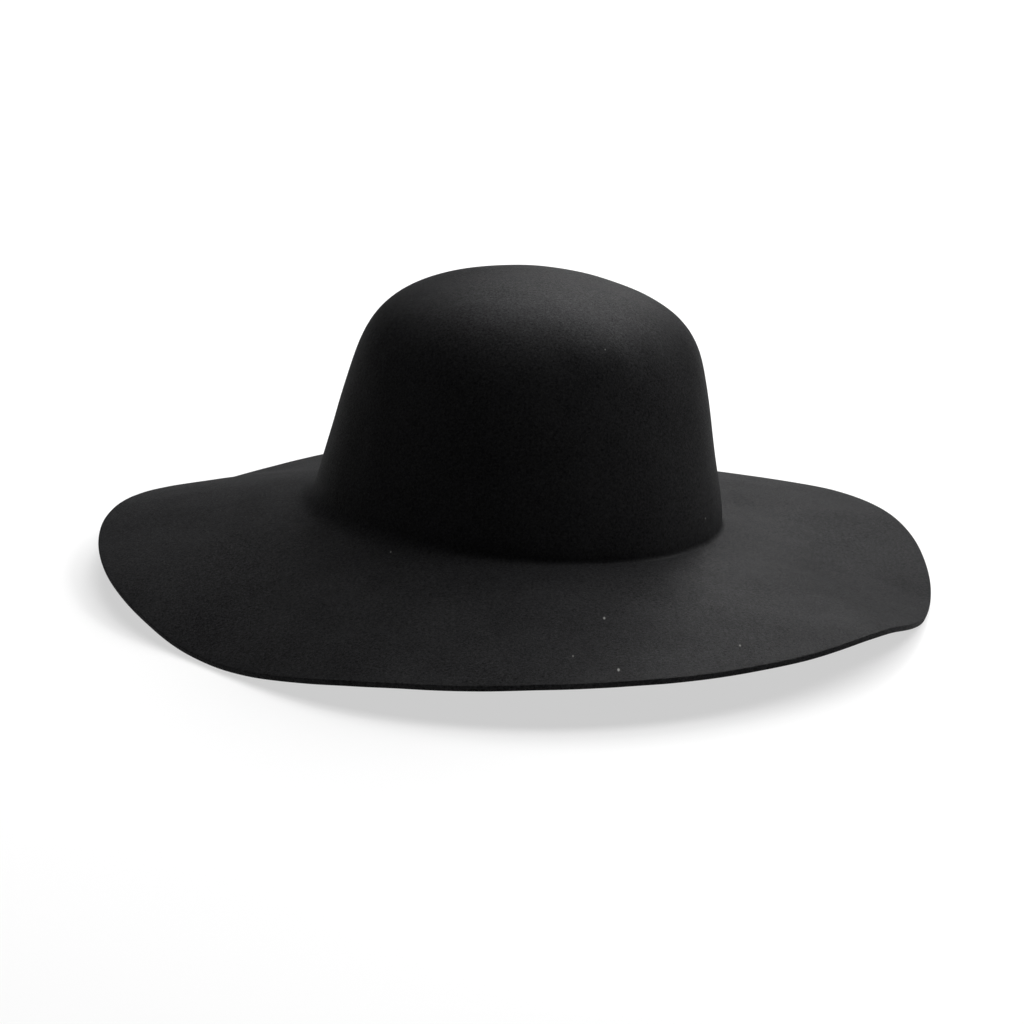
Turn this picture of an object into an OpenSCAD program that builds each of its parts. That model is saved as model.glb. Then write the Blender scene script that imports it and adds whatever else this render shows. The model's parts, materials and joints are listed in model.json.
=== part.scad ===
// Wide-brim hat blocked from one piece of wool felt: an oval crown with a round top, and a
// soft brim with a raw edge that dips and lifts. A grosgrain ribbon sweatband is stitched in
// round the head opening, with a woven size label and a satin care label.
// Millimetres, +Z up, the wearer's face towards -Y. The hat stands on the dips of its brim at
// z = 0, and the origin is below the middle of the brim.

/* [Crown] */
// Width of the crown outside, ear to ear, at the brim break
crown_w = 176; // [150:1:215]
// Length of the crown outside, brow to nape, at the brim break
crown_l = 202; // [172:1:245]
// Height of the crown outside, above the brim break
crown_h = 102; // [84:1:125]
// Share of its width that the wall loses between the break and the tip
crown_taper = 0.25; // [0.1:0.01:0.35]
// How tight the shoulder between wall and tip is
shoulder_power = 9; // [5:0.1:14]
// How flat the tip is
tip_power = 1.6; // [1.2:0.05:2.4]
// Lean of the crown towards +X, in degrees
lean_side = 2.3; // [0:0.1:6]
// Lean of the crown towards +Y, in degrees
lean_back = 3.3; // [0:0.1:6]

/* [Brim] */
// Width of the brim along the felt, break to cut edge
brim_w = 93.5; // [75:0.5:140]
// Height of the brim break above the table, in the middle of the crown
brim_drop = 30.5; // [20:0.5:45]
// Share of the brim's fall that it keeps for its outer half
brim_bow = 0.2; // [0:0.05:0.6]
// Height of the cut edge above the table at the crest on the wearer's right
crest_right = 12.5; // [0:0.5:25]
// Height of the cut edge above the table at the front crest
crest_front = 16; // [0:0.5:25]
// Height of the cut edge above the table at the crest on the wearer's left
crest_left = 10; // [0:0.5:25]
// Height of the cut edge above the table at the back crest
crest_back = 4; // [0:0.5:25]
// Radius of the brim break where it is tightest, front and wearer's left
break_tight_r = 2; // [1:0.5:6]
// Radius of the brim break where it is softest, on the wearer's right
break_soft_r = 9; // [6:0.5:20]
// How far the wall tucks in at the break, where a cord pinched it on the block
tuck = 1.2; // [0:0.1:2.5]
// Height of the wall that tucks in
tuck_h = 9; // [5:0.5:15]

/* [Felt] */
// Thickness of the blocked felt
felt_t = 2.6; // [1.8:0.1:4]

/* [Sweatband] */
// Width of the ribbon
ribbon_w = 25; // [18:1:38]
// Thickness of the ribbon
ribbon_t = 0.8; // [0.5:0.1:1.5]
// Height of the ribbon's lower edge above the brim break
ribbon_rise = 2; // [1:0.5:6]
// Room between the ribbon and the felt, which holds the care label
ribbon_gap = 0.7; // [0.7:0.05:1.2]
// Length by which the ribbon's ends lap
lap_l = 22; // [12:1:40]
// Place of the lap round the opening, in degrees from +X
lap_at = 122; // [100:1:150]

/* [Stitching] */
// Diameter of the sewing thread
thread_d = 0.5; // [0.3:0.05:0.8]
// Length of one stitch
stitch_l = 3; // [2:0.25:5]
// Bare ribbon between two stitches
stitch_gap = 1; // [0.5:0.25:2.5]
// Distance of a seam from the edge it holds
seam_inset = 2.5; // [1.5:0.25:5]

/* [Labels] */
// Width of the woven size label
size_label_w = 26; // [14:1:40]
// Height of the woven size label
size_label_h = 13; // [8:1:16]
// Width of the satin care label
care_label_w = 16; // [10:1:25]
// Height of the care label, from the seam that holds it to its free end
care_label_h = 42; // [28:1:55]
// Thickness of both labels
label_t = 0.25; // [0.15:0.05:0.4]

/* [Hidden] */

back = 90;               // centre back, in degrees from +X
size_label_at = back;
care_label_at = 62;

// The brim's edge in order round the hat: [degrees from +X, height above the table]. It has
// four crests, four dips that the hat stands on, and shoulders that shape the longer crests.
edge_wave = [[25, crest_left], [68, 0], [103, crest_back], [139, 0],
             [152, 0.5 * crest_right], [174, crest_right], [203, 0.75 * crest_right], [228, 0],
             [256, 0.67 * crest_front], [287, crest_front], [318, crest_front], [350, 0]];

around = 72;             // facets round the hat
dome_rings = 11;
wall_rings = 6;
break_rings = 5;
brim_rings = 7;
wall_top = 0.66;         // share of the crown's height where the wall turns into the dome
ribbon_facets = 70;
ribbon_rings = 6;
label_facets = 4;
label_rings = 4;
thread_facets = 16;
label_clearance = 0.22;  // between a label and what it lies on
lap_clearance = 0.25;    // between the two layers of the lapped ribbon
lap_ramp = 9;            // degrees over which the ribbon climbs onto its own end
probe = 0.5;             // step of the slopes that place things on the felt, mm and degrees

ribbon_depth = felt_t + ribbon_gap;
ribbon_face = ribbon_depth + ribbon_t;
lap_angle = degrees_of(lap_l, lap_at);
lap_step = ribbon_t + lap_clearance;
hem_z = ribbon_rise + seam_inset;
stitch_pitch = stitch_l + stitch_gap;

// --- Small helpers ---

function unit(v) = v / norm(v);
function along(p, q, f) = p + (q - p) * f;
function ease(f) = (1 - cos(180 * min(max(f, 0), 1))) / 2;
function steps(first, last, n) = [for (i = [0:n]) along(first, last, i / n)];

// Heights from high down to low, closer together near the break, where the wall curves
function heights_near(low, high, n) = [for (f = steps(1, 0, n)) along(low, high, f * f)];

// Angle round the crown that an arc of a given length takes at a given place
function degrees_of(length, a) =
    length / norm([crown_w * sin(a), crown_l * cos(a)]) * 2 * 180 / PI;

// --- The outer surface of the felt ---

// The crown stands upright in its own frame and leans as a whole
function leaned(p) =
    let (x = p[0] * cos(lean_side) + p[2] * sin(lean_side),
         z = p[2] * cos(lean_side) - p[0] * sin(lean_side))
    [x, p[1] * cos(lean_back) + z * sin(lean_back),
     z * cos(lean_back) - p[1] * sin(lean_back) + brim_drop];

// A point of the crown at angle a, at a share t of its height and a share w of its width
function crown_point(a, t, w) =
    leaned([crown_w / 2 * w * cos(a), crown_l / 2 * w * sin(a), crown_h * t]);

function wall_width(t) =
    (1 - crown_taper * t) * pow(1 - pow(t, shoulder_power), 1 / tip_power)
    - 2 * tuck / crown_w * pow(max(0, 1 - t * crown_h / tuck_h), 2);
function wall_point(a, t) = crown_point(a, t, wall_width(t));

// A point of the dome, where turn runs from 0 at the break to 90 at the tip
function dome_point(a, turn) =
    let (t = pow(sin(turn), 2 / shoulder_power))
    crown_point(a, t, (1 - crown_taper * t) * pow(cos(turn), 2 / tip_power));

// The wave's k-th point, counted on past a full turn, and its slope there: level on a crest or
// in a dip, and otherwise between the slopes on its two sides
function wave_point(k) = edge_wave[k % len(edge_wave)] + [360 * floor(k / len(edge_wave)), 0];
function wave_rise(k) =
    let (run = wave_point(k + 1) - wave_point(k)) run[1] / run[0];
function wave_slope(k) =
    let (before = wave_rise(k + len(edge_wave) - 1), after = wave_rise(k))
    before * after <= 0 ? 0 : 2 * before * after / (before + after);

// Height of the cut edge above the table
function edge_height(a) =
    let (first = edge_wave[0][0],
         x = first + ((a - first) % 360 + 360) % 360,
         k = max([for (i = [0:len(edge_wave) - 1]) if (edge_wave[i][0] <= x) i]),
         from = wave_point(k),
         run = wave_point(k + 1) - from,
         f = (x - from[0]) / run[0],
         start = wave_slope(k) * run[0],
         end = wave_slope(k + 1) * run[0])
    from[1] + f * (start + f * (3 * run[1] - 2 * start - end + f * (start + end - 2 * run[1])));

// A point of the brim at a share u of its width
function brim_point(a, u) =
    let (start = wall_point(a, 0),
         fall = start[2] - edge_height(a) - felt_t,
         reach = sqrt(brim_w * brim_w - fall * fall),
         outward = unit([crown_l * cos(a), crown_w * sin(a), 0]))
    start + reach * u * outward - [0, 0, fall * (u * (1 - brim_bow) + u * u * brim_bow)];

// The break is tight at the front and the wearer's left, and soft on the wearer's right
function break_r(a) = along(break_tight_r, break_soft_r, ease((1 - cos(a) + sin(a) / 2) / 2));
function break_point(a, f) =
    let (wall = wall_point(a, break_r(a) / crown_h), brim = brim_point(a, break_r(a) / brim_w))
    along(along(wall, wall_point(a, 0), f), along(wall_point(a, 0), brim, f), f);

// One vertical section of the felt, from beside the tip to the cut edge
function section(a) =
    let (turn_start = asin(pow(wall_top, shoulder_power / 2)))
    concat([for (i = [1:dome_rings]) dome_point(a, along(90, turn_start, i / dome_rings))],
           [for (i = [1:wall_rings - 1])
               wall_point(a, along(break_r(a) / crown_h, wall_top, pow(1 - i / wall_rings, 2)))],
           [for (f = steps(0, 1, break_rings)) break_point(a, f)],
           [for (i = [1:brim_rings])
               brim_point(a, along(break_r(a) / brim_w, 1, i / brim_rings))]);

sections = [for (j = [0:around - 1]) section(360 * j / around)];
felt_outside = [for (i = [0:len(sections[0]) - 1]) [for (s = sections) s[i]]];
felt_inside = inset(felt_outside, felt_t);

// A grid of points that runs right round the hat, moved inwards by depth. Each point moves
// square to the middle of the two directions in which the section runs through it.
function inset(grid, depth) =
    let (last = len(grid) - 1, n = len(grid[0]))
    [for (i = [0:last]) [for (j = [0:n - 1])
        let (sideways = grid[i][(j + 1) % n] - grid[i][(j + n - 1) % n],
             above = i > 0 ? unit(grid[i][j] - grid[i - 1][j]) : [0, 0, 0],
             below = i < last ? unit(grid[i + 1][j] - grid[i][j]) : [0, 0, 0])
        grid[i][j] + depth * unit(cross(sideways, above + below))]];

// A point of the felt's outside at angle a and height z above the break
function outside_point(a, z) =
    z < break_r(a) ? break_point(a, 1 - sqrt(z / break_r(a))) : wall_point(a, z / crown_h);

// The same point, moved inwards by depth
function inside_point(a, z, depth) =
    let (sideways = outside_point(a + probe, z) - outside_point(a - probe, z),
         down = outside_point(a, z - probe) - outside_point(a, z + probe))
    outside_point(a, z) + depth * unit(cross(sideways, down));

// How far the hat has to move to stand on z = 0 with the origin below the middle of its brim
edge_points = concat(felt_outside[len(felt_outside) - 1], felt_inside[len(felt_inside) - 1]);
function lowest(k) = min([for (p = edge_points) p[k]]);
function highest(k) = max([for (p = edge_points) p[k]]);
seat = -[(lowest(0) + highest(0)) / 2, (lowest(1) + highest(1)) / 2, lowest(2)];

// --- Solids between two grids of points ---

// Four corners, clockwise as seen from outside
function quad(a, b, c, d) = [[a, b, c], [a, c, d]];
function flat(grid) = [for (row = grid) for (p = row) p];
function joined(lists) = [for (list = lists) for (item = list) item];

// Both faces of a wall and its bottom rim; the inner grid's points follow the outer grid's
function wall_faces(rows, n, columns) =
    let (inner = rows * n)
    joined([for (i = [0:rows - 1]) for (j = [0:columns - 1])
        let (a = i * n + j, b = i * n + (j + 1) % n, c = b + n, d = a + n)
        i < rows - 1
            ? concat(quad(a, b, c, d), quad(inner + b, inner + a, inner + d, inner + c))
            : quad(a, b, inner + b, inner + a)]);

// The felt: closed round the hat, with its tip closed at a point
module felt_shell(outer, inner) {
    rows = len(outer);
    n = len(outer[0]);
    tip = 2 * rows * n;
    tip_outside = leaned([0, 0, crown_h]);
    tip_inside = tip_outside + felt_t * unit(leaned([0, 0, 0]) - tip_outside);
    tip_faces = joined([for (j = [0:n - 1])
        let (k = (j + 1) % n)
        [[tip, k, j], [tip + 1, rows * n + j, rows * n + k]]]);
    polyhedron(concat(flat(outer), flat(inner), [tip_outside, tip_inside]),
               concat(wall_faces(rows, n, n), tip_faces));
}

// A strip of cloth on the inside of the wall. It covers the given angles and heights, its face
// nearest the felt is at a depth given for each angle, and it is thick towards the head.
module wall_strip(angles, heights, depths, thick) {
    rows = len(heights);
    n = len(angles);
    inner = rows * n;
    function layer(extra) =
        [for (z = heights) for (j = [0:n - 1]) inside_point(angles[j], z, depths[j] + extra)];
    top_faces = joined([for (j = [0:n - 2]) quad(inner + j, inner + j + 1, j + 1, j)]);
    end_faces = joined([for (i = [0:rows - 2])
        let (a = i * n, b = a + n - 1)
        concat(quad(inner + a, a, a + n, inner + a + n),
               quad(b, inner + b, inner + b + n, b + n))]);
    polyhedron(concat(layer(0), layer(thick)),
               concat(wall_faces(rows, n, n - 1), top_faces, end_faces));
}

// One stitch, half sunk in the cloth at each of its points
module stitch(from, to) {
    run = to - from;
    translate(from)
        rotate([0, acos(run[2] / norm(run)), atan2(run[1], run[0])])
        cylinder(h = norm(run), d = thread_d, $fn = thread_facets);
}

// A row of stitches up the wall at angle a, which fills the heights from low to high
module upright_seam(a, low, high, depth) {
    count = max(1, floor((high - low + stitch_gap) / stitch_pitch));
    first = (low + high - count * stitch_pitch + stitch_gap) / 2;
    for (i = [0:count - 1])
        stitch(inside_point(a, first + i * stitch_pitch, depth),
               inside_point(a, first + i * stitch_pitch + stitch_l, depth));
}

// --- Sub-parts ---

module felt_body() {
    color([0.10, 0.10, 0.11])
        translate(seat)
        felt_shell(felt_outside, felt_inside);
}

// The ribbon starts against the felt, goes right round, and climbs over its own start
module sweatband() {
    start = lap_at - lap_angle / 2;
    angles = steps(start, start + 360 + lap_angle, ribbon_facets);
    depths = [for (a = angles)
        ribbon_depth + lap_step * ease((a - start - 360 + lap_ramp) / lap_ramp)];
    color([0.16, 0.16, 0.17])
        translate(seat)
        wall_strip(angles, heights_near(ribbon_rise, ribbon_rise + ribbon_w, ribbon_rings),
                   depths, ribbon_t);
}

// Lockstitches round the ribbon's lower edge, which hold it to the felt
module sweatband_hem_stitching() {
    girth = PI * (crown_w + crown_l) / 2;
    lap_start = lap_at - lap_angle / 2 - lap_ramp;
    count = round(girth / stitch_pitch);
    half = 180 / count * stitch_l / stitch_pitch;
    color([0.22, 0.22, 0.23])
        translate(seat)
        for (i = [0:count - 1])
            let (a = 360 * i / count,
                 over_lap = a > lap_start && a < lap_at + lap_angle / 2 - half,
                 depth = over_lap ? ribbon_face + lap_step * ease((a - lap_start) / lap_ramp)
                                  : ribbon_face)
            stitch(inside_point(a - half, hem_z, depth), inside_point(a + half, hem_z, depth));
}

// A short upright seam that holds the lapped end down
module sweatband_lap_stitching() {
    a = lap_at + lap_angle / 2 - degrees_of(seam_inset, lap_at);
    color([0.22, 0.22, 0.23])
        translate(seat)
        upright_seam(a, hem_z + seam_inset / 2, ribbon_rise + ribbon_w - seam_inset / 2,
                     ribbon_face + lap_step);
}

size_label_half = degrees_of(size_label_w, size_label_at) / 2;
size_label_low = ribbon_rise + (ribbon_w + seam_inset - size_label_h) / 2 + thread_d;

module size_label() {
    angles = steps(size_label_at - size_label_half, size_label_at + size_label_half, label_facets);
    color([0.55, 0.55, 0.57])
        translate(seat)
        wall_strip(angles, steps(size_label_low + size_label_h, size_label_low, label_rings),
                   [for (a = angles) ribbon_face + label_clearance], label_t);
}

// An upright seam near each end of the size label
module size_label_stitching() {
    a = size_label_half - degrees_of(seam_inset / 2, size_label_at);
    color([0.6, 0.6, 0.62])
        translate(seat)
        for (side = [-1, 1])
            upright_seam(size_label_at + side * a, size_label_low, size_label_low + size_label_h,
                         ribbon_face + label_clearance + label_t);
}

// Caught in the hem between felt and ribbon, with its free end above the ribbon
module care_label() {
    half = degrees_of(care_label_w, care_label_at) / 2;
    angles = steps(care_label_at - half, care_label_at + half, label_facets);
    color([0.9, 0.9, 0.88])
        translate(seat)
        wall_strip(angles, heights_near(ribbon_rise, ribbon_rise + care_label_h, label_rings * 2),
                   [for (a = angles) felt_t + label_clearance], label_t);
}

felt_body();
sweatband();
sweatband_hem_stitching();
sweatband_lap_stitching();
size_label();
size_label_stitching();
care_label();
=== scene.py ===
"""Looks of a wide-brim hat blocked from black wool felt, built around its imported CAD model.

The felt is a subdivided copy of the CAD's shell, with a raw cut edge, the unevenness of hand
blocking and the dents of wear. The ribbon, its stitches and the labels are laid where the CAD
has them, on its own faces.
"""

import json
import math

import bmesh
import bpy
from bpy.props import FloatProperty, FloatVectorProperty, IntProperty, PointerProperty
from mathutils import Matrix, Vector, noise
from mathutils.bvhtree import BVHTree


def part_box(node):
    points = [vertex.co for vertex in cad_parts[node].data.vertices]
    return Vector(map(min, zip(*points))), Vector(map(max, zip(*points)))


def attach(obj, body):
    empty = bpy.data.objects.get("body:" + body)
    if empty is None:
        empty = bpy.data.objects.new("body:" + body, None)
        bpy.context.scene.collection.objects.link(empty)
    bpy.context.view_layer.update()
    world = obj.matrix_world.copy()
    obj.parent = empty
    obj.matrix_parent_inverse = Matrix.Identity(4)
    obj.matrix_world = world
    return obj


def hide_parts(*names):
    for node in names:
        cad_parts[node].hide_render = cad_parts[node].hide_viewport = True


bl_info = {
    "name": "Wide-Brim Felt Hat",
    "version": (1, 0, 0),
    "blender": (4, 5, 0),
    "location": "3D View > Sidebar > Felt Hat",
    "description": "Wool felt hat with a grosgrain sweatband, around its CAD model",
    "category": "Add Mesh",
}

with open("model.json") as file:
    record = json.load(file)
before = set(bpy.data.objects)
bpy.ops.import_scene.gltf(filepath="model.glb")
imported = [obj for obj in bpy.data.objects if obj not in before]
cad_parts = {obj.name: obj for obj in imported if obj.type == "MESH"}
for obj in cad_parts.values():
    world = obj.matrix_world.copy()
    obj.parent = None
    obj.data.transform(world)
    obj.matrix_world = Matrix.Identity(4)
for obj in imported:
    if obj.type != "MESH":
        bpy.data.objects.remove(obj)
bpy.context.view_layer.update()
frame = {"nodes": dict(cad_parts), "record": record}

MM = 0.001
SHARP = math.radians(50)  # an edge that turns more than this is a corner of the CAD's shape
SAME_POINT = 0.01 * MM    # CAD points closer than this are one point
POLE_EDGES = 12           # a point with more edges than this is the pole of a dome
WAVE = 0.314              # distance between the bands of a wave texture of scale 1


def linear(hex_colour):
    """Linear RGBA of an sRGB hex colour."""
    parts = [int(hex_colour[i:i + 2], 16) / 255 for i in (0, 2, 4)]
    return (*((c / 12.92 if c <= 0.04045 else ((c + 0.055) / 1.055) ** 2.4) for c in parts), 1.0)


def smoothstep(low, high, x):
    f = min(max((x - low) / (high - low), 0.0), 1.0)
    return f * f * (3 - 2 * f)


# --- The crown's own frame ---

def crown_frame():
    """Middle of the head opening, and the crown's side, back and up directions."""
    mount = next(m for m in frame["record"]["mounts"] if m["name"] == "head_opening")
    up = -Vector(mount["axis"]).normalized()
    lean_side, lean_back = math.asin(up.x), math.atan2(up.y, up.z)
    side = Vector((math.cos(lean_side), -math.sin(lean_side) * math.sin(lean_back),
                   -math.sin(lean_side) * math.cos(lean_back)))
    return Vector(mount["pos_m"]), side, up.cross(side), up


CENTRE, SIDE, BACK, UP = crown_frame()


def outward(angle):
    """Direction away from the crown's axis, at an angle in radians from the wearer's left."""
    return SIDE * math.cos(angle) + BACK * math.sin(angle)


def crown_place(point):
    """A point's angle round the crown, its distance from the axis, and its height above
    the head opening."""
    away = point - CENTRE
    x, y = away.dot(SIDE), away.dot(BACK)
    return math.atan2(y, x), math.hypot(x, y), away.dot(UP)


# --- Meshes ---

def new_piece(name, mesh, replaced, slot, *materials):
    """A finished piece that rides on the hat's one body and stands for a CAD node."""
    piece = bpy.data.objects.new(name, mesh)
    bpy.context.scene.collection.objects.link(piece)
    for material in materials:
        mesh.materials.append(material)
    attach(piece, "root")
    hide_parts(replaced)
    return piece


def mesh_of(bm, name):
    """The bmesh as a smooth-shaded mesh. The bmesh is freed."""
    for face in bm.faces:
        face.smooth = True
    mesh = bpy.data.meshes.new(name)
    bm.to_mesh(mesh)
    bm.free()
    return mesh


def merged_copy(node):
    """A CAD node's triangles as one closed mesh of quads, but for the fan round a pole."""
    bm = bmesh.new()
    bm.from_mesh(frame["nodes"][node].data)
    bmesh.ops.remove_doubles(bm, verts=bm.verts, dist=SAME_POINT)
    poles = {v for v in bm.verts if len(v.link_edges) > POLE_EDGES}
    bmesh.ops.join_triangles(bm, faces=[f for f in bm.faces if not poles.intersection(f.verts)],
                             angle_face_threshold=math.radians(40),
                             angle_shape_threshold=math.radians(50))
    return bm


def subdivided(bm, name, levels):
    """The bmesh after that many rounds of subdivision surface, as a mesh."""
    base = mesh_of(bm, name + "_base")
    piece = bpy.data.objects.new(name + "_base", base)
    bpy.context.scene.collection.objects.link(piece)
    surface = piece.modifiers.new("Subdivision", "SUBSURF")
    surface.levels = surface.render_levels = levels
    graph = bpy.context.evaluated_depsgraph_get()
    mesh = bpy.data.meshes.new_from_object(piece.evaluated_get(graph))
    mesh.name = name
    bpy.data.objects.remove(piece)
    bpy.data.meshes.remove(base)
    return mesh


# --- Strips of cloth that stand round the inside of the crown ---

class Strip:
    """The face of a CAD strip that looks at the head, met by rays from the crown's axis."""

    ROWS = 9           # points from the strip's lower edge to its upper edge
    RAY = 0.15         # reaches the near wall of the crown, and never the far one
    OUTSIDE = 0.2      # from the axis, well outside the crown

    def __init__(self, node):
        bm = merged_copy(node)
        crease = bm.edges.layers.float.new("crease_edge")
        for edge in bm.edges:
            edge[crease] = float(edge.calc_face_angle(0) > SHARP)
        mesh = subdivided(bm, node, 2)
        points = [v.co.copy() for v in mesh.vertices]
        self.tree = BVHTree.FromPolygons(points, [tuple(p.vertices) for p in mesh.polygons])
        heights = [crown_place(p)[2] for p in points]
        self.low, self.high = min(heights) - MM, max(heights) + MM
        self.middle = (self.low + self.high) / 2
        bpy.data.meshes.remove(mesh)

    def meet(self, angle, height, from_outside=False):
        """Where a level ray at an angle meets the cloth, or None beside it."""
        way = outward(angle)
        start = CENTRE + UP * height + (way * self.OUTSIDE if from_outside else Vector())
        return self.tree.ray_cast(start, -way if from_outside else way, self.RAY)[0]

    def radius(self, angle, from_outside=False):
        return crown_place(self.meet(angle, self.middle, from_outside))[1]

    def column(self, angle, from_outside=False, steps=48):
        """Points evenly spaced up the strip at an angle, from its lower to its upper edge."""
        heights = (self.low + (self.high - self.low) * i / steps for i in range(steps + 1))
        met = [p for p in (self.meet(angle, height, from_outside) for height in heights) if p]
        edges = []
        for inside, outside in ((crown_place(met[0])[2], self.low),
                                (crown_place(met[-1])[2], self.high)):
            for _ in range(10):  # halvings, which find the edge to a few micrometres
                middle = (inside + outside) / 2
                if self.meet(angle, middle, from_outside):
                    inside = middle
                else:
                    outside = middle
            edges.append(self.meet(angle, inside, from_outside))
        return respaced([edges[0], *met[1:-1], edges[1]], self.ROWS)

    def lay_out(self, angles, thickness, under=lambda i: False):
        """Reads the strip's face at angles in order. Where under holds, another layer hides
        it from the axis, and it is read from the felt's side instead."""
        self.columns = []
        for i, angle in enumerate(angles):
            hidden = under(i)
            shift = -outward(angle) * thickness if hidden else Vector()
            self.columns.append([p + shift for p in self.column(angle, hidden)])
        last = len(angles) - 1
        self.normals = [
            [(self.columns[min(i + 1, last)][j] - self.columns[max(i - 1, 0)][j]).cross(
                self.columns[i][min(j + 1, self.ROWS - 1)] - self.columns[i][max(j - 1, 0)]
            ).normalized() * -1 for j in range(self.ROWS)] for i in range(len(angles))]
        row = self.ROWS // 2
        self.length = sum((self.columns[i + 1][row] - self.columns[i][row]).length
                          for i in range(last))
        middle = self.columns[len(self.columns) // 2]
        self.width = sum((a - b).length for a, b in zip(middle, middle[1:]))

    def at(self, along, up, lift):
        """The point at shares of the strip's length and width, lifted towards the head."""
        i, f = cell(along, len(self.columns))
        j, g = cell(up, self.ROWS)
        point, normal = (
            a[i][j] * (1 - f) * (1 - g) + a[i + 1][j] * f * (1 - g)
            + a[i][j + 1] * (1 - f) * g + a[i + 1][j + 1] * f * g
            for a in (self.columns, self.normals))
        return point + normal.normalized() * lift


def cell(share, count):
    """Which of count evenly spaced samples a share falls after, and how far past it."""
    at = share * (count - 1)
    index = min(max(int(at), 0), count - 2)
    return index, at - index


def respaced(line, count):
    """count points evenly spaced along a line of points."""
    runs = [(b - a).length for a, b in zip(line, line[1:])]
    total, result, k, before = sum(runs), [], 0, 0.0
    for i in range(count):
        target = total * i / (count - 1)
        while k < len(runs) - 1 and before + runs[k] < target:
            before += runs[k]
            k += 1
        result.append(line[k].lerp(line[k + 1], (target - before) / max(runs[k], 1e-9)))
    return result


def cloth_strip(strip, columns, rows, thickness, relief):
    """A sheet of cloth laid on a strip. Its UVs are metres along and across the cloth, and
    relief gives how far both faces stand out at a place, and how far the edge does."""
    bm = bmesh.new()
    bmesh.ops.create_grid(bm, x_segments=columns, y_segments=rows, size=0.5)
    bmesh.ops.translate(bm, verts=bm.verts, vec=(0.5, 0.5, 0))
    bmesh.ops.scale(bm, verts=bm.verts, vec=(strip.length, strip.width, 1))
    bmesh.ops.solidify(bm, geom=bm.faces[:], thickness=thickness)
    top = max(v.co.z for v in bm.verts)
    uv = bm.loops.layers.uv.new("UVMap")
    for face in bm.faces:
        for loop in face.loops:
            loop[uv].uv = loop.vert.co.xy
    on_edge = 1e-6
    for v in bm.verts:
        out, widen = relief(v.co.x, v.co.y)
        depth = v.co.z - top
        lift = out if depth > -thickness / 2 else -thickness - out
        side = (v.co.y > strip.width - on_edge) - (v.co.y < on_edge)
        v.co = strip.at(v.co.x / strip.length, (v.co.y + side * widen) / strip.width, lift)
    bmesh.ops.recalc_face_normals(bm, faces=bm.faces)
    return bm


# --- Stitches ---

def islands(node):
    """The separate solids of a CAD node, each as a list of points."""
    bm = bmesh.new()
    bm.from_mesh(frame["nodes"][node].data)
    bmesh.ops.remove_doubles(bm, verts=bm.verts, dist=SAME_POINT)
    seen, found = set(), []
    for first in bm.verts:
        if first in seen:
            continue
        seen.add(first)
        group = [first]
        for v in group:
            for edge in v.link_edges:
                other = edge.other_vert(v)
                if other not in seen:
                    seen.add(other)
                    group.append(other)
        found.append([v.co.copy() for v in group])
    bm.free()
    return found


def stitch_ends(points):
    """The two ends of a CAD stitch, a straight rod: the middles of its two caps."""
    middle = sum(points, Vector()) / len(points)
    far = max(points, key=lambda p: (p - middle).length)
    first = [p for p in points if (p - middle).dot(far - middle) > 0]
    start = sum(first, Vector()) / len(first)
    return start, middle * 2 - start


def one_stitch(length, radius, rise, sides=8, steps=7):
    """A stitch along X that bows out of the cloth towards Z and dives back into it."""
    bm = bmesh.new()
    uv = bm.loops.layers.uv.new("UVMap")
    turn = Matrix.Rotation(math.radians(90), 3, "Y")
    ring = bmesh.ops.create_circle(bm, segments=sides, radius=radius)["verts"]
    bmesh.ops.rotate(bm, verts=ring, cent=(0, 0, 0), matrix=turn)
    bmesh.ops.translate(bm, verts=ring, vec=(-length / 2, 0, 0))
    edges = bm.edges[:]
    for _ in range(steps):
        made = bmesh.ops.extrude_edge_only(bm, edges=edges)["geom"]
        edges = [e for e in made if isinstance(e, bmesh.types.BMEdge)]
        bmesh.ops.translate(bm, verts=[v for v in made if isinstance(v, bmesh.types.BMVert)],
                            vec=(length / steps, 0, 0))
    bmesh.ops.holes_fill(bm, edges=[e for e in bm.edges if e.is_boundary], sides=sides)
    for face in bm.faces:
        for loop in face.loops:
            co = loop.vert.co
            loop[uv].uv = (co.x, math.atan2(co.z, co.y) * radius)
    pinch, dive = 0.75, 2.2  # how much the ends thin, and how far they go down, in rises
    for v in bm.verts:
        share = 2 * v.co.x / length
        waist = math.sqrt(max(1 - pinch * share ** 6, 0))
        v.co.y *= waist
        v.co.z = v.co.z * waist + rise * (1 - dive * share ** 4)
    bmesh.ops.recalc_face_normals(bm, faces=bm.faces)
    return mesh_of(bm, "one_stitch")


def stitch_row(node, radius):
    """A bowed stitch at each straight one of a CAD node."""
    rise = 0.12 * MM
    bm = bmesh.new()
    for points in islands(node):
        start, end = stitch_ends(points)
        middle, run = (start + end) / 2, end - start
        x = run.normalized()
        to_head = -outward(crown_place(middle)[0])
        y = to_head.cross(x).normalized()
        mesh = one_stitch(run.length, radius, rise)
        first = len(bm.verts)
        bm.from_mesh(mesh)
        bpy.data.meshes.remove(mesh)
        bm.verts.ensure_lookup_table()
        place = Matrix.Translation(middle) @ Matrix((x, y, x.cross(y))).transposed().to_4x4()
        bmesh.ops.transform(bm, matrix=place, verts=bm.verts[first:])
    return bm


# --- Labels ---

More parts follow.
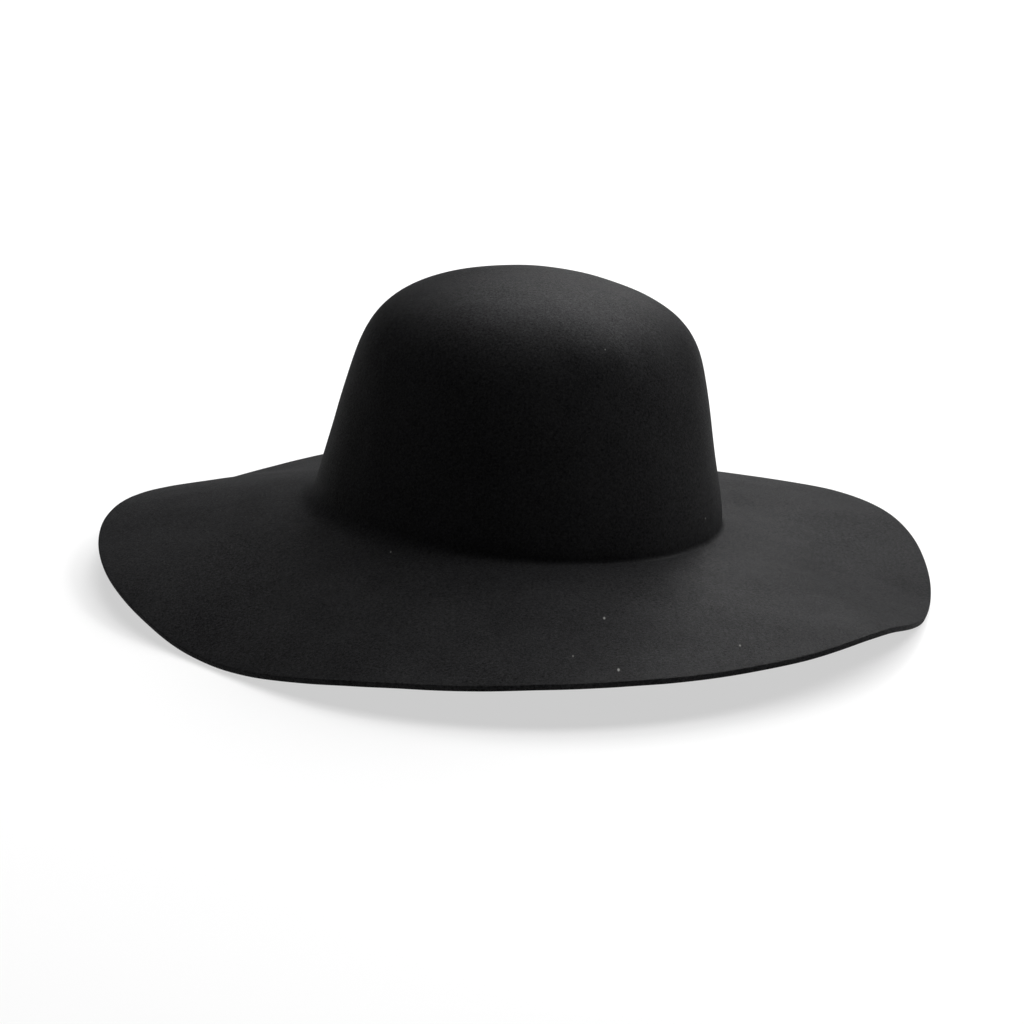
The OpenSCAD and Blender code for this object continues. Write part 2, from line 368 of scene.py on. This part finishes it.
def label_sheet(name, node, slot, cells, material, thickness, curl):
    """A label laid on its CAD strip. Its upper end swells by the curl, so that its inner face
    turns to the head."""
    strip = Strip(node)
    step = math.radians(0.1)
    middle = crown_place(sum((Vector(c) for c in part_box(node)), Vector()) / 2)[0]
    low = high = middle
    while strip.meet(low - step, strip.middle):
        low -= step
    while strip.meet(high + step, strip.middle):
        high += step
    count = 24
    strip.lay_out([low + (high - low) * i / count for i in range(count + 1)], 0.0)
    curl_starts = 0.65  # share of the label's height

    def relief(x, y):
        return curl * smoothstep(curl_starts, 1.0, y / strip.width) ** 2, 0.0
    bm = cloth_strip(strip, *cells, thickness, relief)
    label = new_piece(name, mesh_of(bm, name), node, slot, material)


# --- Materials ---

def add(tree, kind, inputs=None, **settings):
    """Adds a shader node. An input is a value for its socket, or a socket to link to it."""
    made = tree.nodes.new(kind)
    for name, value in settings.items():
        setattr(made, name, value)
    for name, value in (inputs or {}).items():
        if isinstance(value, bpy.types.NodeSocket):
            tree.links.new(value, made.inputs[name])
        else:
            made.inputs[name].default_value = value
    return made


def ramp(tree, factor, *stops):
    """A colour ramp over (position, colour) stops."""
    made = add(tree, "ShaderNodeValToRGB", {"Fac": factor})
    made.color_ramp.elements[0].position, made.color_ramp.elements[0].color = stops[0]
    made.color_ramp.elements[1].position, made.color_ramp.elements[1].color = stops[-1]
    for position, colour in stops[1:-1]:
        made.color_ramp.elements.new(position).color = colour
    return made.outputs["Color"]


def new_material(name, **surface):
    """A material with its principled shader's own values set. Returns both and the tree."""
    material = bpy.data.materials.new(name)
    material.use_nodes = True
    tree = material.node_tree
    shader = tree.nodes["Principled BSDF"]
    for key, value in surface.items():
        shader.inputs[key.replace("_", " ")].default_value = value
    return material, tree, shader


def felt_material(name, dark, light, lint, bump):
    """Wool felt, blocked, shaved and brushed: matted fibres a few hundredths of a millimetre
    thick that scatter light in all directions and glow faintly when seen along the surface."""
    material, tree, shader = new_material(
        name, Roughness=0.56, IOR=1.45, Sheen_Weight=0.01, Sheen_Roughness=0.3,
        Sheen_Tint=linear("808084"))
    where = add(tree, "ShaderNodeTexCoord").outputs["Object"]
    # Fibres matted into a grain of just under 1 mm
    grain = add(tree, "ShaderNodeTexNoise", {
        "Vector": where, "Scale": 1 / (0.9 * MM), "Detail": 3.0, "Roughness": 0.62,
        "Distortion": 0.8})
    # Single hairs, which are the thin lines where another noise crosses its middle
    hair_noise = add(tree, "ShaderNodeTexNoise", {
        "Vector": where, "Scale": 1 / (2.6 * MM), "Detail": 2.0, "Distortion": 2.5})
    off_line = add(tree, "ShaderNodeMath", {0: hair_noise.outputs["Fac"], 1: 0.5},
                   operation="SUBTRACT")
    off_line = add(tree, "ShaderNodeMath", {0: off_line.outputs[0]}, operation="ABSOLUTE")
    hairs = add(tree, "ShaderNodeMapRange", {
        "Value": off_line.outputs[0], "From Min": 0.0, "From Max": 0.03, "To Min": 1.0,
        "To Max": 0.0})
    # The nap lies denser and thinner in patches some centimetres wide
    patches = add(tree, "ShaderNodeTexNoise", {
        "Vector": where, "Scale": 1 / (34 * MM), "Detail": 3.0, "Roughness": 0.55})
    mottle = add(tree, "ShaderNodeMath", {
        0: patches.outputs["Fac"], 1: 0.25, 2: grain.outputs["Fac"]}, operation="MULTIPLY_ADD")
    mottle = add(tree, "ShaderNodeMath", {
        0: hairs.outputs["Result"], 1: 0.12, 2: mottle.outputs[0]}, operation="MULTIPLY_ADD")
    nap = ramp(tree, mottle.outputs[0], (0.4, dark), (0.88, light))
    # Only the tips of the denser fibres glint, so the glancing light shows the grain too
    glint = add(tree, "ShaderNodeMapRange", {
        "Value": mottle.outputs[0], "From Min": 0.45, "From Max": 0.8, "To Min": 0.011,
        "To Max": 0.029})
    tree.links.new(glint.outputs["Result"], shader.inputs["Specular IOR Level"])
    # Lint: scattered pale specks just under 1 mm wide and about 2 mm long, front to back
    drawn = add(tree, "ShaderNodeMapping", {"Vector": where, "Scale": (1.0, 0.4, 1.0)})
    specks = add(tree, "ShaderNodeTexVoronoi", {
        "Vector": drawn.outputs["Vector"], "Scale": 1 / (20 * MM)})
    covers = add(tree, "ShaderNodeMapRange", {
        "Value": specks.outputs["Distance"], "From Min": 0.012, "From Max": 0.03,
        "To Min": 0.5, "To Max": 0.0})
    colour = add(tree, "ShaderNodeMix", {0: covers.outputs["Result"], 6: nap, 7: lint},
                 data_type="RGBA")
    tree.links.new(colour.outputs[2], shader.inputs["Base Color"])
    height = add(tree, "ShaderNodeMath", {
        0: hairs.outputs["Result"], 1: 0.3, 2: grain.outputs["Fac"]}, operation="MULTIPLY_ADD")
    relief = add(tree, "ShaderNodeBump", {
        "Height": height.outputs[0], "Strength": bump, "Distance": 0.35 * MM})
    tree.links.new(relief.outputs["Normal"], shader.inputs["Normal"])
    return material


def ribbon_material(dark, light):
    """Grosgrain, woven from viscose and cotton: round weft ribs with a dry, low lustre."""
    material, tree, shader = new_material(
        "grosgrain_ribbon", Roughness=0.62, IOR=1.5, Specular_IOR_Level=0.4,
        Sheen_Weight=0.15, Sheen_Roughness=0.4, Sheen_Tint=linear("B0B0B4"))
    where = add(tree, "ShaderNodeUVMap", uv_map="UVMap").outputs["UV"]
    # Warp threads 1 mm apart bind the ribs
    warp = add(tree, "ShaderNodeTexWave", {
        "Vector": where, "Scale": WAVE / (1.0 * MM), "Distortion": 0.6, "Detail": 1.0},
        bands_direction="Y")
    # The weft's shade wanders in streaks under 1 mm wide and some 17 mm long
    streaks = add(tree, "ShaderNodeMapping", {"Vector": where, "Scale": (1400.0, 60.0, 1.0)})
    streaks = add(tree, "ShaderNodeTexNoise", {
        "Vector": streaks.outputs["Vector"], "Scale": 1.0, "Detail": 2.0})
    shade = ramp(tree, streaks.outputs["Fac"], (0.3, dark), (0.7, light))
    tree.links.new(shade, shader.inputs["Base Color"])
    relief = add(tree, "ShaderNodeBump", {
        "Height": warp.outputs["Fac"], "Strength": 0.35, "Distance": 0.12 * MM})
    tree.links.new(relief.outputs["Normal"], shader.inputs["Normal"])
    return material


def thread_material(name, dark, light):
    """Twisted polyester sewing thread: a smooth filament yarn with a slanted ply, painted darker
    in its grooves as shade and lighter on its crowns as a highlight.
    """
    material, tree, shader = new_material(
        name, Roughness=0.5, IOR=1.55, Sheen_Weight=0.1, Sheen_Roughness=0.4)
    where = add(tree, "ShaderNodeUVMap", uv_map="UVMap").outputs["UV"]
    # Slanted bands are twice as far apart as straight ones: here 1.54 mm along the stitch
    ply = add(tree, "ShaderNodeTexWave", {
        "Vector": where, "Scale": 2 * WAVE / (1.54 * MM), "Distortion": 0.2},
        bands_direction="DIAGONAL")
    # The ramp over the ply paints shade into the grooves and a highlight onto the crowns
    shade = ramp(tree, ply.outputs["Fac"], (0.1, dark), (0.8, light))
    tree.links.new(shade, shader.inputs["Base Color"])
    relief = add(tree, "ShaderNodeBump", {
        "Height": ply.outputs["Fac"], "Strength": 0.6, "Distance": 0.1 * MM})
    tree.links.new(relief.outputs["Normal"], shader.inputs["Normal"])
    return material


def woven_material(name, dark, light, pitch, roughness, sheen):
    """A fine woven label: damask is matt and flat, and satin floats its warp for a gloss."""
    material, tree, shader = new_material(
        name, Roughness=roughness, IOR=1.5, Sheen_Weight=sheen, Sheen_Roughness=0.3)
    where = add(tree, "ShaderNodeUVMap", uv_map="UVMap").outputs["UV"]
    across, along = (add(tree, "ShaderNodeTexWave", {
        "Vector": where, "Scale": WAVE / pitch, "Distortion": 0.3, "Detail": 1.0},
        bands_direction=way).outputs["Fac"] for way in "XY")
    weave = add(tree, "ShaderNodeMath", {0: across, 1: along}, operation="MULTIPLY")
    # The ramp paints shade between the threads: darker where the weave sinks, lighter where the
    # threads cross
    shade = ramp(tree, weave.outputs[0], (0.0, dark), (0.6, light))
    tree.links.new(shade, shader.inputs["Base Color"])
    relief = add(tree, "ShaderNodeBump", {
        "Height": weave.outputs[0], "Strength": 0.4, "Distance": 0.1 * MM})
    tree.links.new(relief.outputs["Normal"], shader.inputs["Normal"])
    return material


# --- Settings ---

def size(name, value, text):
    """A setting for a length in metres."""
    return FloatProperty(name=name, description=text, default=value, min=0.0, unit="LENGTH",
                         subtype="DISTANCE", precision=5)


def colour(name, value, text):
    """A setting for a colour, whose default is an sRGB hex value."""
    return FloatVectorProperty(name=name, description=text, default=linear(value), size=4,
                               min=0.0, max=1.0, subtype="COLOR")


class FeltSettings(bpy.types.PropertyGroup):
    """Sizes and colours of the blocked felt."""
    corner: size("Cut corner", 0.3 * MM, "Rounding of the brim's two cut corners")
    unevenness: size("Unevenness", 0.35 * MM, "How far hand blocking leaves the surface off")
    levels: IntProperty(name="Subdivision", description="Rounds of subdivision surface",
                        default=2, min=1, max=3)
    nap_dark: colour("Nap, dark", "0F0F10", "Colour between the fibres of the brushed nap")
    nap_light: colour("Nap, light", "272728", "Colour of the fibres of the brushed nap")
    cut_dark: colour("Cut edge, dark", "0C0C0D", "Colour between the fibres of the cut edge")
    cut_light: colour("Cut edge, light", "363637", "Colour of the fibres of the cut edge")
    lint: colour("Lint", "B4B4B0", "Colour of the specks of lint on the nap")


class SweatbandSettings(bpy.types.PropertyGroup):
    """Sizes and colours of the ribbon and of the thread that holds it."""
    thickness: size("Thickness", 0.6 * MM, "Thickness of the ribbon between its ribs")
    rib_pitch: size("Rib pitch", 1.0 * MM, "Distance between two ribs of the grosgrain")
    rib_height: size("Rib height", 0.1 * MM, "Height of a rib on each face")
    thread: size("Thread", 0.5 * MM, "Diameter of the sewing thread")
    ribbon_dark: colour("Ribbon, dark", "121214", "Colour of the ribbon between its threads")
    ribbon_light: colour("Ribbon, light", "1D1D20", "Colour of the ribbon's threads")
    # The thread's two colours are painted shade in the ply's grooves and a painted highlight on
    # its crowns
    thread_groove_shade: colour("Thread, dark", "151517", "Colour of the sewing thread's grooves")
    thread_ply_highlight: colour("Thread, light", "2E2E31", "Colour of the sewing thread's ply")


class LabelSettings(bpy.types.PropertyGroup):
    """Sizes and colours of the two labels."""
    thickness: size("Thickness", 0.22 * MM, "Thickness of both labels")
    curl: size("Curl", 2.0 * MM, "How far both faces stand out at the care label's free end")
    # The labels' dark colours are painted shade between their threads
    size_gap_shade: colour("Size label, dark", "3A3A3E", "Colour between the damask's threads")
    size_light: colour("Size label, light", "55555A", "Colour of the damask's threads")
    care_gap_shade: colour("Care label, dark", "CFCDC8", "Colour between the satin's threads")
    care_light: colour("Care label, light", "E4E2DD", "Colour of the satin's threads")
    # The label thread's two colours are painted shade in the ply's grooves and a painted
    # highlight on its crowns
    thread_groove_shade: colour("Thread, dark", "5A5A5E", "Colour of the label thread's grooves")
    thread_ply_highlight: colour("Thread, light", "8A8A8E", "Colour of the label thread's ply")


class StudioSettings(bpy.types.PropertyGroup):
    """The camera and the lights."""
    distance: size("Distance", 1.5, "Camera's distance from below the middle of the brim")
    elevation: FloatProperty(name="Elevation", description="Camera's angle above the table",
                             default=math.radians(17.6), subtype="ANGLE")
    roll: FloatProperty(name="Roll", description="Camera's tilt to one side",
                        default=math.radians(2.1), subtype="ANGLE")
    lens: FloatProperty(name="Lens", description="Focal length", default=123.0, min=20.0,
                        subtype="DISTANCE_CAMERA", unit="CAMERA")


# --- Operators ---

class FELTHAT_OT_felt_body(bpy.types.Operator):
    """Make the blocked felt: crown and brim in one piece, with a raw cut edge"""
    bl_idname = "felt_hat.felt_body"
    bl_label = "Felt Body"

    def execute(self, context):
        felt = context.scene.felt_hat_felt
        bm = merged_copy("felt_body")
        # The only sharp edges are the two corners of the brim's cut edge
        cut = [e for e in bm.edges if e.calc_face_angle(0) > SHARP]
        corners = {v for e in cut for v in e.verts}
        for face in bm.faces:
            face.material_index = int(all(v in corners for v in face.verts))
        bmesh.ops.bevel(bm, geom=cut, offset=felt.corner, offset_type="OFFSET", segments=2,
                        profile=0.5, affect="EDGES", material=-1, clamp_overlap=True)
        mesh = subdivided(bm, "blocked_felt", felt.levels)
        self.settle(mesh, felt.unevenness)
        new_piece("blocked_felt", mesh, "felt_body", "wool_felt",
                  felt_material("wool_felt_brushed", felt.nap_dark, felt.nap_light, felt.lint,
                                0.33),
                  felt_material("wool_felt_cut_edge", felt.cut_dark, felt.cut_light,
                                felt.lint, 0.8))
        return {"FINISHED"}

    # Where wear has pressed the felt out (above 0) or in: place, reach and height in mm
    WEAR = (
        ((24, -66, 114), 9, 0.9),        # swellings below the front of the crown's shoulder
        ((38, -58, 113), 10, 0.9),
        ((15.5, -80.3, 94.5), 5, -0.5),  # a dimple in the front of the crown
        ((68, -10, 112), 30, 1.8),       # the fuller shoulder on the wearer's left
        ((126, -101, 21), 8, -0.9),      # a dent and a ridge in the brim, front left
        ((143, -98, 17), 11, 0.9),
        ((34, -142, 27), 16, -0.5),      # a faint fold in the front of the brim
    )
    BRIM_STARTS, BRIM_BEGUN = 0.085, 0.115  # from the axis: the wall's push turns into lift
    TIP_TURN = 8                            # how soon the wall's push turns up, per metre
    SWELLS, RIPPLES = 22, 55                # unevenness, waves per metre

    def settle(self, mesh, amount):
        """Moves both faces of the felt together by the unevenness that blocking and wear
        leave."""
        worn = [(Vector(place) * MM, reach * MM, rise * MM) for place, reach, rise in self.WEAR]
        for v in mesh.vertices:
            angle, radius, height = crown_place(v.co)
            on_brim = smoothstep(self.BRIM_STARTS, self.BRIM_BEGUN, radius)
            way = (outward(angle) + UP * max(height, 0) * self.TIP_TURN).normalized()
            way = (way * (1 - on_brim) + UP * on_brim).normalized()
            swell = noise.noise(v.co * self.SWELLS) + 0.5 * noise.noise(v.co * self.RIPPLES)
            pressed = sum(rise * math.exp(-((v.co - place).length / reach) ** 2)
                          for place, reach, rise in worn)
            v.co += way * (amount * swell + pressed)
            v.co.z = max(v.co.z, 0.0)


class FELTHAT_OT_sweatband(bpy.types.Operator):
    """Lay the grosgrain ribbon round the head opening and sew it in"""
    bl_idname = "felt_hat.sweatband"
    bl_label = "Sweatband"

    def execute(self, context):
        band = context.scene.felt_hat_sweatband
        strip = Strip("sweatband")
        start, end = self.ends(strip)
        count = 320
        angles = [start + (end - start) * i / count for i in range(count + 1)]
        lapped = end - math.tau + 0.02  # the end and a little past it lie over the start
        strip.lay_out(angles, band.thickness, under=lambda i: angles[i] < lapped)
        ribs = round(strip.length / band.rib_pitch)
        seam, seam_reach, seam_depth = 2.5 * MM, 0.8 * MM, 0.12 * MM
        rib_roundness, rib_end = 0.7, 0.15 * MM

        def relief(x, y):
            rib = abs(math.cos(math.pi * ribs * x / strip.length))
            pull = seam_depth * math.exp(-((y - seam) / seam_reach) ** 2)
            return band.rib_height * rib ** rib_roundness - pull, rib_end * rib

        bm = cloth_strip(strip, ribs * 4, 8, band.thickness, relief)
        ribbon = new_piece("grosgrain_sweatband", mesh_of(bm, "sweatband"), "sweatband",
                           "grosgrain_ribbon",
                           ribbon_material(band.ribbon_dark, band.ribbon_light))
        thread = thread_material("sewing_thread_black", band.thread_groove_shade, band.thread_ply_highlight)
        for name, node in (("hem_stitches", "sweatband_hem_stitching"),
                           ("lap_stitches", "sweatband_lap_stitching")):
            bm = stitch_row(node, band.thread / 2)
            new_piece(name, mesh_of(bm, name), node, "black_thread", thread)
        return {"FINISHED"}

    @staticmethod
    def ends(strip):
        """The angles of the ribbon's hidden start and of its lapped end, a full turn on."""
        count = 720
        turn = [math.tau * i / count for i in range(count)]

        def jump(from_outside):
            radii = [strip.radius(a, from_outside) for a in turn]
            return max(range(count), key=lambda i: abs(radii[i] - radii[i - 1]))
        start, end = turn[jump(True)], turn[jump(False) - 1]
        return start, end + (math.tau if end < start + math.pi else 0)


class FELTHAT_OT_size_label(bpy.types.Operator):
    """Sew the blank woven size label to the back of the ribbon"""
    bl_idname = "felt_hat.size_label"
    bl_label = "Size Label"

    def execute(self, context):
        label = context.scene.felt_hat_labels
        damask = woven_material("woven_damask", label.size_gap_shade, label.size_light, 0.45 * MM,
                                0.7, 0.1)
        label_sheet("woven_size_label", "size_label", "woven_label", (52, 26), damask,
                    label.thickness, 0.0)
        thread = thread_material("sewing_thread_grey", label.thread_groove_shade, label.thread_ply_highlight)
        bm = stitch_row("size_label_stitching", context.scene.felt_hat_sweatband.thread / 2)
        new_piece("label_stitches", mesh_of(bm, "label_stitches"), "size_label_stitching",
                  "label_thread", thread)
        return {"FINISHED"}


class FELTHAT_OT_care_label(bpy.types.Operator):
    """Hang the blank satin care label between the ribbon and the felt"""
    bl_idname = "felt_hat.care_label"
    bl_label = "Care Label"

    def execute(self, context):
        label = context.scene.felt_hat_labels
        satin = woven_material("woven_satin", label.care_gap_shade, label.care_light, 0.3 * MM,
                               0.35, 0.2)
        label_sheet("satin_care_label", "care_label", "satin_label", (32, 84), satin,
                    label.thickness, label.curl)
        return {"FINISHED"}


class FELTHAT_OT_studio(bpy.types.Operator):
    """Set the pale floor, the camera and the soft lights"""
    bl_idname = "felt_hat.studio"
    bl_label = "Studio"

    # Name, place in metres, width in metres and power in watts
    SOFTBOXES = (
        ("softbox_above", (0.1, 0.3, 1.9), 1.6, 20.0),
        ("softbox_back_high", (0.0, 1.3, 1.5), 1.2, 14.2),
        ("softbox_back_low", (0.4, 1.9, 1.2), 0.9, 23.4),
        ("softbox_right_back", (1.1, 1.4, 1.4), 0.9, 17.2),
        ("softbox_right_high", (1.3, 0.3, 1.5), 0.9, 17.4),
        ("softbox_right_low", (1.5, 0.9, 0.95), 0.9, 5.6),
    )
    LIT = Vector((0, 0, 0.06))                   # what the softboxes point at
    AIM = Vector((-2.3 * MM, 0, 27.7 * MM))      # what the camera points at
    FLOOR_RADIUS = 14.0
    UNDER_BRIM, PAST_BRIM = 0.14, 0.19           # from the middle of the hat

    def execute(self, context):
        self.floor()
        self.camera(context)
        for softbox in self.SOFTBOXES:
            self.area(*softbox)
        context.scene.world = self.air()
        context.scene.view_settings.view_transform = "Standard"
        return {"FINISHED"}

    @staticmethod
    def air():
        """A dark room whose far wall looks white where the table ends."""
        world = bpy.data.worlds.new("studio_air")
        world.use_nodes = True
        tree = world.node_tree
        seen = add(tree, "ShaderNodeLightPath").outputs["Is Camera Ray"]
        strength = add(tree, "ShaderNodeMapRange", {"Value": seen, "To Min": 0.02, "To Max": 1.0})
        background = tree.nodes["Background"]
        background.inputs["Color"].default_value = linear("FFFFFF")
        tree.links.new(strength.outputs["Result"], background.inputs["Strength"])
        return world

    def floor(self):
        """A matt, pale table that glows though it is no lamp: its emission is painted light."""
        bm = bmesh.new()
        bmesh.ops.create_circle(bm, cap_ends=True, segments=96, radius=self.FLOOR_RADIUS)
        floor = bpy.data.objects.new("studio_floor", mesh_of(bm, "studio_floor"))
        bpy.context.scene.collection.objects.link(floor)
        material, tree, shader = new_material(
            "glowing_fill_floor", Roughness=0.9, Base_Color=linear("959595"),
            Emission_Color=linear("FFFFFF"))
        # The table's glow fills the shadow that the camera sees. It barely lights the hat
        # from outside, and it lights the underside of the brim and the ribbon well
        where = add(tree, "ShaderNodeTexCoord").outputs["Object"]
        away = add(tree, "ShaderNodeVectorMath", {0: where}, operation="LENGTH")
        cast = add(tree, "ShaderNodeMapRange", {
            "Value": away.outputs["Value"], "From Min": self.UNDER_BRIM,
            "From Max": self.PAST_BRIM, "To Min": 1.2, "To Max": 0.2})
        seen = add(tree, "ShaderNodeLightPath").outputs["Is Camera Ray"]
        glow = add(tree, "ShaderNodeMapRange", {
            "Value": seen, "To Min": cast.outputs["Result"], "To Max": 0.6})
        tree.links.new(glow.outputs["Result"], shader.inputs["Emission Strength"])
        # The table is clear from below, so that views from under the brim show the ribbon
        behind = add(tree, "ShaderNodeNewGeometry").outputs["Backfacing"]
        clear = add(tree, "ShaderNodeBsdfTransparent").outputs[0]
        mixed = add(tree, "ShaderNodeMixShader", {
            0: behind, 1: shader.outputs[0], 2: clear})
        tree.links.new(mixed.outputs[0], tree.nodes["Material Output"].inputs["Surface"])
        floor.data.materials.append(material)

    def camera(self, context):
        """A camera before the wearer's face, aimed at the middle of the hat and then rolled."""
        studio = context.scene.felt_hat_studio
        data = bpy.data.cameras.new("studio_camera")
        data.lens, data.sensor_width, data.clip_end = studio.lens, 36.0, 60.0
        camera = bpy.data.objects.new("studio_camera", data)
        context.scene.collection.objects.link(camera)
        back = Vector((0, -math.cos(studio.elevation), math.sin(studio.elevation)))
        place = back * studio.distance
        turn = (self.AIM - place).to_track_quat("-Z", "Y").to_matrix()
        turn = turn @ Matrix.Rotation(studio.roll, 3, "Z")
        camera.matrix_world = Matrix.Translation(place) @ turn.to_4x4()
        context.scene.camera = camera

    def area(self, name, place, width, power):
        """A round softbox that points at the hat."""
        data = bpy.data.lights.new(name, "AREA")
        data.shape, data.size, data.energy = "DISK", width, power
        light = bpy.data.objects.new(name, data)
        bpy.context.scene.collection.objects.link(light)
        light.location = place
        light.rotation_mode = "QUATERNION"
        light.rotation_quaternion = (self.LIT - Vector(place)).to_track_quat("-Z", "Y")


class FELTHAT_PT_panel(bpy.types.Panel):
    """The hat's settings and the steps that build it"""
    bl_idname = "FELTHAT_PT_panel"
    bl_label = "Felt Hat"
    bl_space_type = "VIEW_3D"
    bl_region_type = "UI"
    bl_category = "Felt Hat"

    def draw(self, context):
        for settings in SETTINGS:
            group = getattr(context.scene, settings)
            box = self.layout.box()
            for name in group.__annotations__:
                box.prop(group, name)
        for step in STEPS:
            self.layout.operator(step.bl_idname)


STEPS = (FELTHAT_OT_felt_body, FELTHAT_OT_sweatband, FELTHAT_OT_size_label,
         FELTHAT_OT_care_label, FELTHAT_OT_studio)
SETTINGS = {"felt_hat_felt": FeltSettings, "felt_hat_sweatband": SweatbandSettings,
            "felt_hat_labels": LabelSettings, "felt_hat_studio": StudioSettings}


def register():
    for cls in (*SETTINGS.values(), *STEPS, FELTHAT_PT_panel):
        bpy.utils.register_class(cls)
    for name, cls in SETTINGS.items():
        setattr(bpy.types.Scene, name, PointerProperty(type=cls))


def unregister():
    for name in SETTINGS:
        delattr(bpy.types.Scene, name)
    for cls in (FELTHAT_PT_panel, *reversed(STEPS), *SETTINGS.values()):
        bpy.utils.unregister_class(cls)


def main():
    register()
    for step in STEPS:
        group, name = step.bl_idname.split(".")
        getattr(getattr(bpy.ops, group), name)()


if __name__ == "__main__":
    main()
